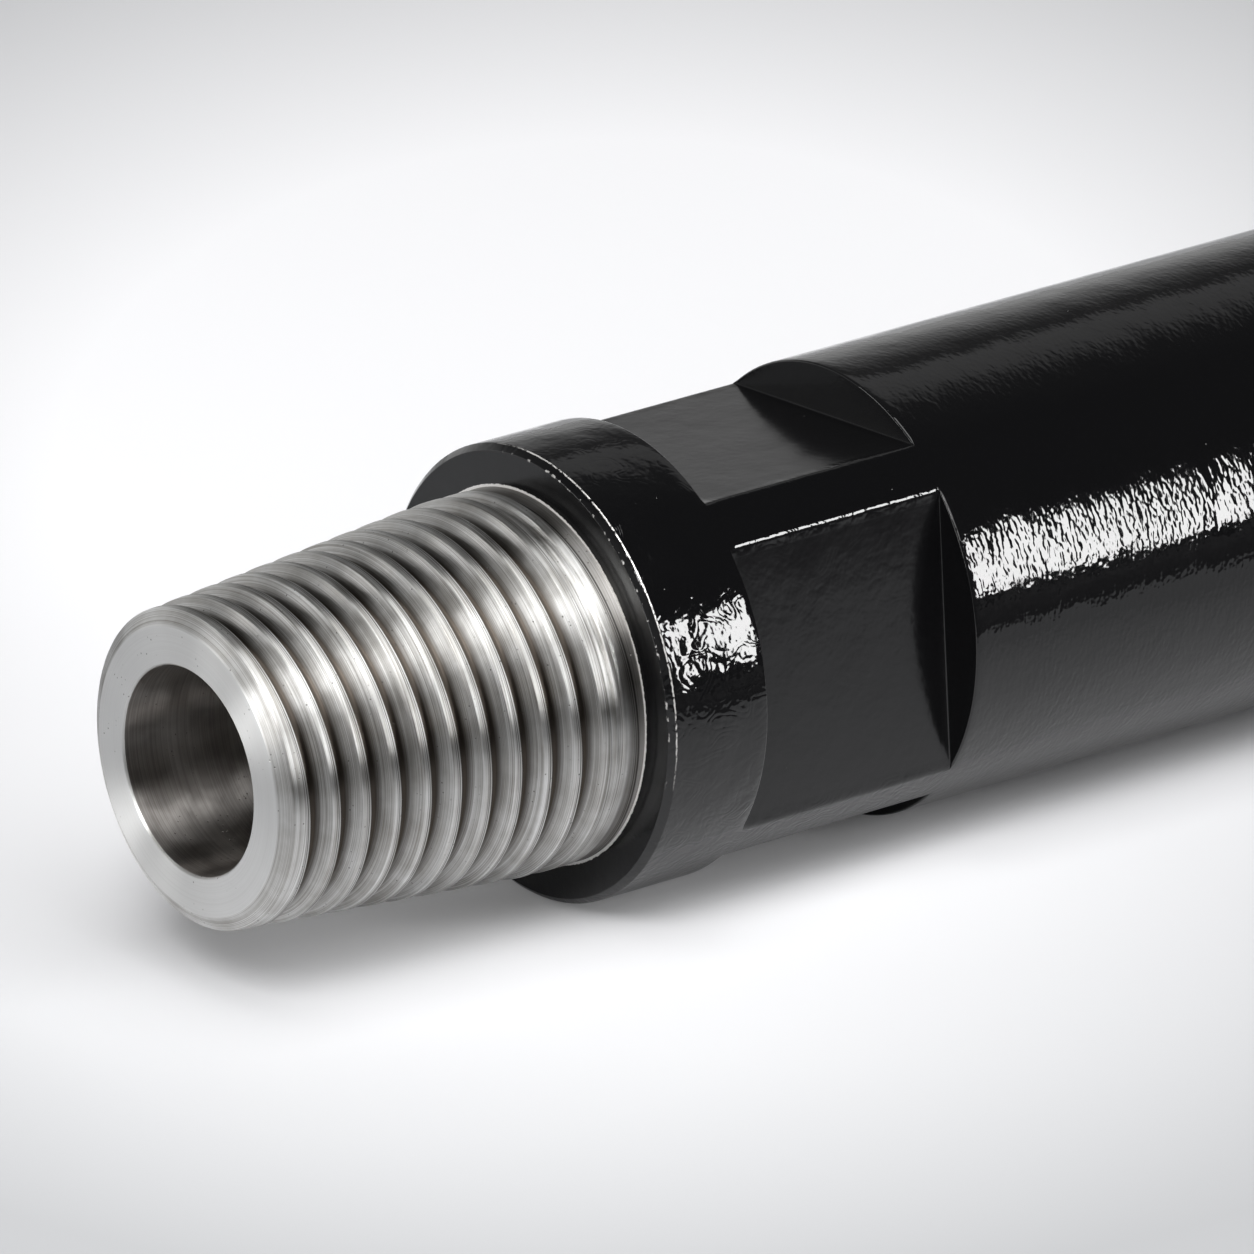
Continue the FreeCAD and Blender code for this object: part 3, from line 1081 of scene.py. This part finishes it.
@dataclass
class PinToolJoint:
    """The male end: a bare threaded pin and a painted body with four wrench flats.

    Attributes:
        finishes: The materials.
        threads: The tree that cuts the thread.
        sizes: The sizes that it shares with the other pieces.
        thread_start: How far behind the nose the groove's first full turn begins.
        nose_radius: The outside radius of the nose's face.
        nose_chamfer: How long the chamfer behind that face is.
        mouth_bevel: The bevel at the bore's mouth.
        base_radius: The plain radius at the pin's foot.
        collar: How far the collar reaches from the shoulder.
        flat: How long the flats are.
        half_across: From the axis to a flat.
        flat_roll_deg: How far the flats are turned round the axis from upright.
        edge: The rounding along the top of a flat's end wall.
        cove_start: Axial place where the thread ends and the cove begins.
        cove_floor: The cove's least radius.
        cove_end_radius: Its radius at the shoulder.
    """

    finishes: Finishes
    threads: HelicalThread
    sizes: PipeSizes = PipeSizes()
    thread_start: float = 4.1 * MM
    nose_radius: float = 26.65 * MM
    nose_chamfer: float = 1.7 * MM
    mouth_bevel: float = 0.4 * MM
    base_radius: float = 35.0 * MM
    collar: float = 22.0 * MM
    flat: float = 48.0 * MM
    half_across: float = 33.5 * MM
    flat_roll_deg: float = -4.2
    edge: float = 0.45 * MM
    cove_start: float = -3.5 * MM
    cove_floor: float = 34.45 * MM
    cove_end_radius: float = 34.95 * MM

    def build_pin(self) -> bpy.types.Object:
        """Makes the bare pin, from its nose to the shoulder's plane.

        Returns:
            The pin.
        """
        sizes = self.sizes
        low = -sizes.pin_length
        rim_height = sizes.pin_tip_radius - self.nose_radius
        form = ThreadForm(
            start=low + self.thread_start,
            turns=10.0,
            run_in=0.25,
            run_out=0.75,
            low=low,
            high=self.cove_start,
            crest_at_zero=sizes.pin_tip_radius + sizes.pin_length * TAPER,
            crest_slope=TAPER,
            base_radius=self.base_radius,
            chamfer_radius=self.nose_radius,
            chamfer_slope=rim_height / self.nose_chamfer + TAPER,
            side=Side.OUTSIDE,
        )
        thread = self.threads.cut("pin_thread", form, self.finishes.steel)
        count = HelicalThread.PER_TURN
        mouth = self.mouth_bevel
        profile = [(low, self.nose_radius)]
        profile += rounded_profile([
            (low, self.nose_radius - 0.1 * MM, 0),
            (low, sizes.bore + mouth, 0.1 * MM),
            (low + mouth, sizes.bore, 0.1 * MM),
            (0.0, sizes.bore, 0),
        ])
        # A shallow cove is turned between the thread's run-out and the shoulder. It falls away
        # from the shoulder, and ends in a steep step up to the thread.
        depth = self.cove_end_radius - self.cove_floor
        for share in np.linspace(0.0, 1.0, 9):
            place = self.cove_start * 0.96 * share
            profile.append((place, self.cove_floor + depth * (1 - share) ** 2))
        profile.append((self.cove_start, self.base_radius - 0.05 * MM))
        profile.append((self.cove_start, self.base_radius))
        rings = turned_rings(profile, count)
        inside = lathe("pin_inside", rings, even_angles(count), closed=False)
        mesh = joined("pin", [thread, inside])
        mesh.materials.clear()
        dress_by_place(
            mesh,
            (self.finishes.steel, self.finishes.bore),
            lambda middle: int(math.hypot(middle.y, middle.z) < sizes.bore + 0.01 * MM),
        )
        smooth(mesh, 50)
        crease_ring(mesh, low, self.nose_radius)
        piece = piece_from("threaded_pin", mesh)
        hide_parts("pin_tool_joint")
        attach(piece, ROOT)
        return piece

    def _top(self) -> float:
        """The angle at which the middle of the upper flat lies."""
        return QUARTER_TURN + math.radians(self.flat_roll_deg)

    def _angles(self) -> np.ndarray:
        """Angles round the body, closest where a flat meets the round.

        Returns:
            The angles, in order.
        """
        half = math.acos(self.half_across / self.sizes.radius)
        close = np.array([-0.04, -0.025, -0.015, -0.0075, 0.0, 0.0075, 0.015, 0.025, 0.04])
        clear = 0.06
        offsets = np.concatenate([
            np.linspace(-half + clear, half - clear, 25),
            half + close,
            np.linspace(half + clear, QUARTER_TURN - half - clear, 4),
            QUARTER_TURN - half + close,
        ])
        return np.concatenate([self._top() + k * QUARTER_TURN + offsets for k in range(4)])

    def _flat_radius(self, angles: np.ndarray) -> np.ndarray:
        """Radius of the section through the flats, with slightly rounded corners.

        Args:
            angles: The angles at which the section is wanted.

        Returns:
            The radius at each angle.
        """
        half_way = QUARTER_TURN / 2
        turn = (angles - self._top() + half_way) % QUARTER_TURN - half_way
        flat = self.half_across / np.cos(turn)
        outside = self.sizes.radius
        soft = 0.35 * MM
        gap = np.clip(0.5 + 0.5 * (flat - outside) / soft, 0.0, 1.0)
        return flat * (1 - gap) + outside * gap - soft * gap * (1 - gap)

    def _wall(self, place: float, low: np.ndarray, rising: bool) -> list[Ring]:
        """Rings of one end wall of the flats, rounded at its top and filleted at its foot.

        Args:
            place: The wall's axial place.
            low: The radius of the flats' section at each angle.
            rising: Whether the wall climbs towards +X.

        Returns:
            The rings, from -X to +X.
        """
        high = self.sizes.radius
        drop = high - low
        # Where the wall runs out to nothing, so do its rounding and its fillet.
        soft = np.minimum(self.edge, drop * 0.45)
        fillet = soft * 0.7
        away = 1.0 if rising else -1.0
        rings = []
        for angle in np.linspace(0, QUARTER_TURN, 5):
            x = place + away * soft * (1 - math.sin(angle))
            rings.append((x, high - soft * (1 - math.cos(angle))))
        for angle in np.linspace(0, QUARTER_TURN, 4):
            x = place - away * fillet * (1 - math.cos(angle))
            rings.append((x, low + fillet * (1 - math.sin(angle))))
        return rings[::-1] if rising else rings

    def build_body(self) -> bpy.types.Object:
        """Makes the painted body, from the shoulder face to the weld.

        Returns:
            The body.
        """
        sizes = self.sizes
        angles = self._angles()
        count = len(angles)
        bevel = sizes.shoulder_bevel
        low = self._flat_radius(angles)
        start, end = self.collar, self.collar + self.flat
        clear = 2 * MM  # how far the plain rings stay from the flats' end walls
        weld = sizes.pin_weld
        flare_end = weld - sizes.weld_land
        front = rounded_profile([
            (0.0, sizes.bore, 0),
            (0.0, sizes.radius - bevel, 0.25 * MM),
            (bevel, sizes.radius, 0.4 * MM),
            (start - clear, sizes.radius, 0),
        ])
        back = rounded_profile([
            (end + clear, sizes.radius, 0),
            (weld, sizes.radius, 0),
            (weld, sizes.tube_inside, 0),
            (flare_end, sizes.tube_inside, 2 * MM),
            (flare_end - sizes.flare, sizes.bore, 2 * MM),
            (20 * MM, sizes.bore, 0),
        ])
        rings = turned_rings(front, count)
        rings += self._wall(start, low, rising=False)
        rings += [(np.full(count, x), low) for x in np.linspace(start + clear, end - clear, 5)]
        rings += self._wall(end, low, rising=True)
        rings += turned_rings(back, count)
        mesh = lathe("pin_joint_body", rings, angles)

        def choose(middle: Vector) -> int:
            """Chooses paint outside, a dull coat on the far end walls and bare steel inside.

            Args:
                middle: The middle of a face.

            Returns:
                The number of the face's material.
            """
            radius = math.hypot(middle.y, middle.z)
            in_bore = radius < sizes.bore + 1 * MM
            in_flare = middle.x > 100 * MM and radius < sizes.tube_inside + 0.5 * MM
            on_weld = middle.x > weld - 0.01 * MM and radius < sizes.radius - 1 * MM
            if abs(middle.x - end) < 0.05 * MM and radius > self.half_across - 1 * MM:
                return BodyFinish.END_WALL
            if in_bore or in_flare or on_weld:
                return BodyFinish.BARE
            return BodyFinish.TUBE if middle.x > end else BodyFinish.COLLAR

        given = self.finishes
        dress_by_place(mesh, (given.collar, given.bore, given.end_wall, given.tube), choose)
        smooth(mesh)
        piece = piece_from("painted_collar_and_flats", mesh)
        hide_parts("pin_tool_joint")
        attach(piece, ROOT)
        log.info("painted body: %d faces", len(mesh.polygons))
        return piece


@dataclass
class Tube:
    """The seamless tube between the two tool joints.

    Attributes:
        finishes: The materials.
        sizes: The sizes that it shares with the other pieces.
        around: How many sides it has.
        along: How many rings it has outside, and inside.
    """

    finishes: Finishes
    sizes: PipeSizes = PipeSizes()
    around: int = 256
    along: int = 13

    def build(self) -> bpy.types.Object:
        """Makes the tube.

        Returns:
            The tube.
        """
        sizes = self.sizes
        places = np.linspace(sizes.pin_weld, sizes.box_weld, self.along)
        outside = [(x, sizes.radius) for x in places]
        inside = [(x, sizes.tube_inside) for x in reversed(places)]
        rings = turned_rings(outside + inside, self.around)
        mesh = lathe("tube", rings, even_angles(self.around))
        edge = sizes.radius - 1 * MM
        dress_by_place(
            mesh,
            (self.finishes.tube, self.finishes.bore),
            lambda middle: int(math.hypot(middle.y, middle.z) < edge),
        )
        smooth(mesh)
        piece = piece_from("tube", mesh)
        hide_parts("pipe_tube")
        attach(piece, ROOT)
        log.info("tube: %d faces", len(mesh.polygons))
        return piece


@dataclass
class BoxToolJoint:
    """The female end, painted outside and bare on its face and inside.

    Attributes:
        finishes: The materials.
        threads: The tree that cuts the thread.
        sizes: The sizes that it shares with the other pieces.
        face: Axial place of the box face.
        depth: How deep the threaded hole is.
        counterbore: The plain counterbore's radius.
        lead_in: How deep the counterbore is.
        mouth_bevel: The bevel at the counterbore's mouth.
        turns: How many full turns the thread has.
        clearance: How far the crests stay from the roots of the pin that goes in.
    """

    finishes: Finishes
    threads: HelicalThread
    sizes: PipeSizes = PipeSizes()
    face: float = 1000.0 * MM
    depth: float = 92.1 * MM
    counterbore: float = 37.3 * MM
    lead_in: float = 15.9 * MM
    mouth_bevel: float = 0.4 * MM
    turns: float = 9.0
    clearance: float = 0.25 * MM

    def crest(self, depth: float) -> float:
        """Radius of the thread's crests at a depth from the face."""
        pin = self.sizes.pin_tip_radius + (self.sizes.pin_length - depth) * TAPER
        return pin - THREAD_HEIGHT + self.clearance

    def build(self) -> bpy.types.Object:
        """Makes the box tool joint.

        Returns:
            The box tool joint.
        """
        sizes = self.sizes
        low, high = self.face - self.depth, self.face - self.lead_in
        # This radius lies well inside the crests, so that nothing caps or chamfers them.
        unused = self.crest(self.depth) - 5 * MM
        form = ThreadForm(
            start=high - PITCH / 2 - self.turns * PITCH,
            turns=self.turns,
            run_in=0.75,
            run_out=0.5,
            low=low,
            high=high,
            crest_at_zero=self.crest(self.face),
            crest_slope=TAPER,
            base_radius=unused,
            chamfer_radius=unused,
            chamfer_slope=1.0,
            side=Side.INSIDE,
        )
        thread = self.threads.cut("box_thread", form, self.finishes.box_steel)
        count = HelicalThread.PER_TURN
        bevel, mouth = sizes.shoulder_bevel, self.mouth_bevel
        weld = sizes.box_weld
        flare_end = weld + sizes.weld_land
        profile = [(high, self.crest(self.lead_in))]
        profile += rounded_profile([
            (high, self.counterbore - 0.5 * MM, 0),
            (high, self.counterbore, 0.2 * MM),
            (self.face - mouth, self.counterbore, 0.1 * MM),
            (self.face, self.counterbore + mouth, 0.1 * MM),
            (self.face, sizes.radius - bevel, 0.25 * MM),
            (self.face - bevel, sizes.radius, 0.4 * MM),
            (weld, sizes.radius, 0),
            (weld, sizes.tube_inside, 0),
            (flare_end, sizes.tube_inside, 2 * MM),
            (flare_end + sizes.flare, sizes.bore, 2 * MM),
            (low - 3 * MM, sizes.bore, 0),
        ])
        profile.append((low, self.crest(self.depth)))
        rings = turned_rings(profile, count)
        shell = lathe("box_shell", rings, even_angles(count), closed=False)
        mesh = joined("box", [thread, shell])
        mesh.materials.clear()
        edge = sizes.radius - 2 * MM
        dress_by_place(
            mesh,
            (self.finishes.tube, self.finishes.box_steel),
            lambda middle: int(math.hypot(middle.y, middle.z) < edge),
        )
        smooth(mesh, 40)
        piece = piece_from("box_tool_joint_shell", mesh)
        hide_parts("box_tool_joint")
        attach(piece, ROOT)
        return piece


@dataclass(frozen=True)
class Softbox:
    """A rectangular lamp that faces the pipe's near end.

    Attributes:
        name: Its name.
        way: The direction that it stands in, as seen from where it aims.
        reach: How far off it stands, in lengths of that direction.
        size: Its width and height.
        watts: Its power.
    """

    name: str
    way: tuple[float, float, float]
    reach: float
    size: tuple[float, float]
    watts: float


def way_at(azimuth_deg: float, elevation_deg: float) -> tuple[float, float, float]:
    """The direction at an azimuth from +X towards +Y and a height above the floor."""
    a, e = math.radians(azimuth_deg), math.radians(elevation_deg)
    return (math.cos(a) * math.cos(e), math.sin(a) * math.cos(e), math.sin(e))


# The strip in front is what the tube and the threads mirror. The broad lamp overhead lights the
# floor, and hangs outside the cone of directions that the round sides mirror towards the camera.
# The third shines into the bore. The flanks that face the nose mirror the last two, one above
# the other.
SOFTBOXES = (
    Softbox("strip_softbox", way_at(-55.0, 15.5), 2.0, (0.28, 0.86), 15.0),
    Softbox("broad_softbox", (-0.03, -0.42, 0.9), 2.2, (1.8, 2.6), 45.0),
    Softbox("nose_softbox", (-0.6, -0.4, 0.7), 2.0, (0.8, 0.8), 24.0),
    Softbox("low_side_softbox", (-0.99, 0.01, 0.06), 2.0, (0.6, 0.5), 5.5),
    Softbox("high_side_softbox", (-0.81, 0.48, 0.33), 2.0, (0.6, 0.5), 3.5),
)


@dataclass(frozen=True)
class Studio:
    """A pale floor, five softboxes and a room that is dim behind the camera.

    Attributes:
        floor_z: The floor's height.
        azimuth_deg: How far the camera is turned from looking along +Y.
        elevation_deg: How high it stands over the floor, as an angle.
        focal_px: Its focal length in pixels of the photograph.
        frame_px: The photograph's width and height.
        nose_from_camera: The nose's place right of, below and in front of the camera.
        nose: The nose's place.
        aim: The point that the lamps face.
        pool: The middle of the pool of light that is painted on the floor.
        pool_size: How far it reaches to the camera's right and away from the camera.
    """

    floor_z: float = -PipeSizes.radius
    azimuth_deg: float = -37.668
    elevation_deg: float = 21.597
    focal_px: float = 17849.0
    frame_px: float = 1254.0
    nose_from_camera: tuple[float, float, float] = (-0.07845, 0.0258, 3.1845)
    nose: tuple[float, float, float] = (-PipeSizes.pin_length, 0.0, 0.0)
    aim: tuple[float, float, float] = (0.06, 0.0, 0.0)
    pool: tuple[float, float] = (0.15, 0.167)
    pool_size: tuple[float, float] = (0.26, 0.42)

    def camera_axes(self) -> tuple[Vector, Vector, Vector]:
        """Works out which way the camera points.

        Returns:
            Its right, up and backward directions.
        """
        a, e = math.radians(self.azimuth_deg), math.radians(self.elevation_deg)
        back = Vector((math.sin(a) * math.cos(e), -math.cos(a) * math.cos(e), math.sin(e)))
        right = Vector((math.cos(a), math.sin(a), 0.0))
        return right, back.cross(right), back

    def add_camera(self) -> None:
        """Stands the camera where the photograph was taken from."""
        right, up, back = self.camera_axes()
        across, down, away = self.nose_from_camera
        place = Vector(self.nose) - across * right + down * up + away * back
        lens = bpy.data.cameras.new("camera")
        lens.sensor_width = 36.0
        lens.lens = self.focal_px / self.frame_px * lens.sensor_width
        lens.clip_end = 50.0
        camera = bpy.data.objects.new("camera", lens)
        turn = Matrix((right, up, back)).transposed().to_4x4()
        camera.matrix_world = Matrix.Translation(place) @ turn
        bpy.context.scene.collection.objects.link(camera)
        bpy.context.scene.camera = camera

    def add_lights(self) -> None:
        """Hangs the softboxes."""
        for box in SOFTBOXES:
            light = bpy.data.lights.new(box.name, "AREA")
            light.shape = "RECTANGLE"
            light.size, light.size_y = box.size
            light.energy = box.watts
            lamp = bpy.data.objects.new(box.name, light)
            off = Vector(box.way) * box.reach
            turn = off.to_track_quat("Z", "Y").to_matrix().to_4x4()
            lamp.matrix_world = Matrix.Translation(Vector(self.aim) + off) @ turn
            bpy.context.scene.collection.objects.link(lamp)

    def add_floor(self) -> None:
        """Lays the floor, with a pool of light painted on it: white round the pipe's near end, and
        greyer away from it.
        """
        mesh = bpy.data.meshes.new("floor")
        reach = 12.0
        z = self.floor_z
        corners = [(-reach, -reach, z), (reach, -reach, z), (reach, reach, z), (-reach, reach, z)]
        mesh.from_pydata(corners, [], [(0, 1, 2, 3)])
        t = ShaderTree("matt_white_floor")
        pool = add_node(
            t.tree,
            "ShaderNodeMapping",
            {"vector_type": "TEXTURE"},
            {
                "Vector": t.place,
                "Location": (*self.pool, self.floor_z),
                "Rotation": (0.0, 0.0, math.radians(self.azimuth_deg)),
                "Scale": (*self.pool_size, 1.0),
            },
        ).outputs[0]
        away = add_node(
            t.tree, "ShaderNodeVectorMath", {"operation": "LENGTH"}, {0: pool}
        ).outputs["Value"]
        # The painted pool of light: white near the pipe, greyer further off.
        seen = t.blend(t.fade(away, 0.42, 0.97), "#f6f6f8", "#b4b5b7")
        # Past the front edge of the white sweep, mirrored rays see the floor painted dark, a
        # painted reflection of a dark room.
        rays = add_node(t.tree, "ShaderNodeLightPath").outputs
        glossy = rays["Is Glossy Ray"]
        past_edge = t.fade(t.y, -0.2, -0.23)
        # A dark patch is painted for mirrored rays alone, as a painted reflection in the steep end
        # of the top flat.
        behind_nose = t.op("MULTIPLY", t.fade(t.x, -0.095, -0.085), t.fade(t.x, 0.045, 0.035))
        patch = t.op("MULTIPLY", behind_nose, t.fade(t.y, 0.115, 0.13))
        painted_dark_reflection = t.op("MULTIPLY", glossy, t.op("MAXIMUM", past_edge, patch))
        color = t.blend(painted_dark_reflection, seen, "#161617")
        # Mirrored rays see the sweep behind the pipe glow evenly bright, a painted reflection.
        shining = t.op("MULTIPLY", glossy, t.fade(t.y, 0.25, 0.9, 0.0, 0.4))
        # A faint glow that only camera rays see lifts the shadow under the pin a little.
        from_pin = add_node(
            t.tree,
            "ShaderNodeVectorMath",
            {"operation": "DISTANCE"},
            {0: t.place, 1: (-0.05, -0.03, self.floor_z)},
        ).outputs["Value"]
        lifted = t.op("MULTIPLY", rays["Is Camera Ray"], t.fade(from_pin, 0.16, 0.06, 0.0, 0.08))
        shining = t.op("MAXIMUM", shining, lifted)
        t.feed(
            base_color=color,
            roughness=0.9,
            specular_ior_level=0.1,
            emission_color=srgb("#ffffff"),
            emission_strength=shining,
        )
        mesh.materials.append(t.material)
        piece_from("floor", mesh)

    def add_world(self) -> None:
        """Lights the room: pale behind the pipe, and dim overhead and on the camera's side."""
        world = bpy.data.worlds.new("studio")
        bpy.context.scene.world = world
        world.use_nodes = True
        tree = world.node_tree
        sky = tree.nodes["Background"]
        way = add_node(tree, "ShaderNodeTexCoord").outputs["Generated"]
        axes = add_node(tree, "ShaderNodeSeparateXYZ", inputs={0: way}).outputs

        def op(operation: str, *values: Any) -> bpy.types.NodeSocket:
            """A sum in the world's tree."""
            return math_node(tree, operation, *values)

        def ease(
            value: Any, start: float, end: float, low: float, high: float
        ) -> bpy.types.NodeSocket:
            """Maps a range of a value to another, with soft ends.

            Args:
                value: The value, a number or a socket.
                start: Where the range begins.
                end: Where it ends.
                low: What it gives at the start and before it.
                high: What it gives at the end and past it.

            Returns:
                The mapped value.
            """
            span = {"From Min": start, "From Max": end, "To Min": low, "To Max": high}
            soft = {"interpolation_type": "SMOOTHSTEP"}
            return add_node(tree, "ShaderNodeMapRange", soft, {"Value": value, **span}).outputs[0]

        behind = ease(op("MULTIPLY_ADD", axes[0], 0.25, axes[1]), 0.0, 0.7, 0.06, 1.0)
        level = ease(axes[2], 0.54, 0.05, 0.12, 1.0)
        # The side past the nose is dim too, and fills the flanks that face it.
        ahead = ease(axes[0], -0.5, -0.95, 0.0, 0.3)
        strength = op("MAXIMUM", op("MULTIPLY", behind, level), ahead)
        # What the paint mirrors of the far end of the room is dimmer.
        far_end = ease(axes[0], 0.25, 0.5, 0.0, 0.4)
        glossy = add_node(tree, "ShaderNodeLightPath").outputs["Is Glossy Ray"]
        dimmed = op("SUBTRACT", 1.0, op("MULTIPLY", far_end, glossy))
        # A faint band high up on that side shows in the tube's top.
        from_band = op("ABSOLUTE", op("SUBTRACT", axes[2], 0.65))
        band = ease(from_band, 0.13, 0.05, 0.0, 0.7)
        band = op("MULTIPLY", band, op("GREATER_THAN", axes[1], 0.15))
        band = op("MULTIPLY", op("MULTIPLY", band, far_end), glossy)
        strength = op("MULTIPLY_ADD", strength, dimmed, band)
        sky.inputs["Color"].default_value = (1.0, 1.0, 1.0, 1.0)
        tree.links.new(strength, sky.inputs["Strength"])

    def build(self) -> None:
        """Sets the whole studio."""
        self.add_camera()
        self.add_lights()
        self.add_floor()
        self.add_world()
        bpy.context.scene.view_settings.view_transform = "Standard"


def main() -> None:
    """Builds the drill pipe and its studio."""
    logging.basicConfig(level=logging.INFO, format="%(name)s: %(message)s")
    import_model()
    Studio().build()
    finishes = Finishes()
    threads = HelicalThread()
    joint = PinToolJoint(finishes, threads)
    joint.build_pin()
    joint.build_body()
    Tube(finishes).build()
    BoxToolJoint(finishes, threads).build()


if __name__ == "__main__":
    main()
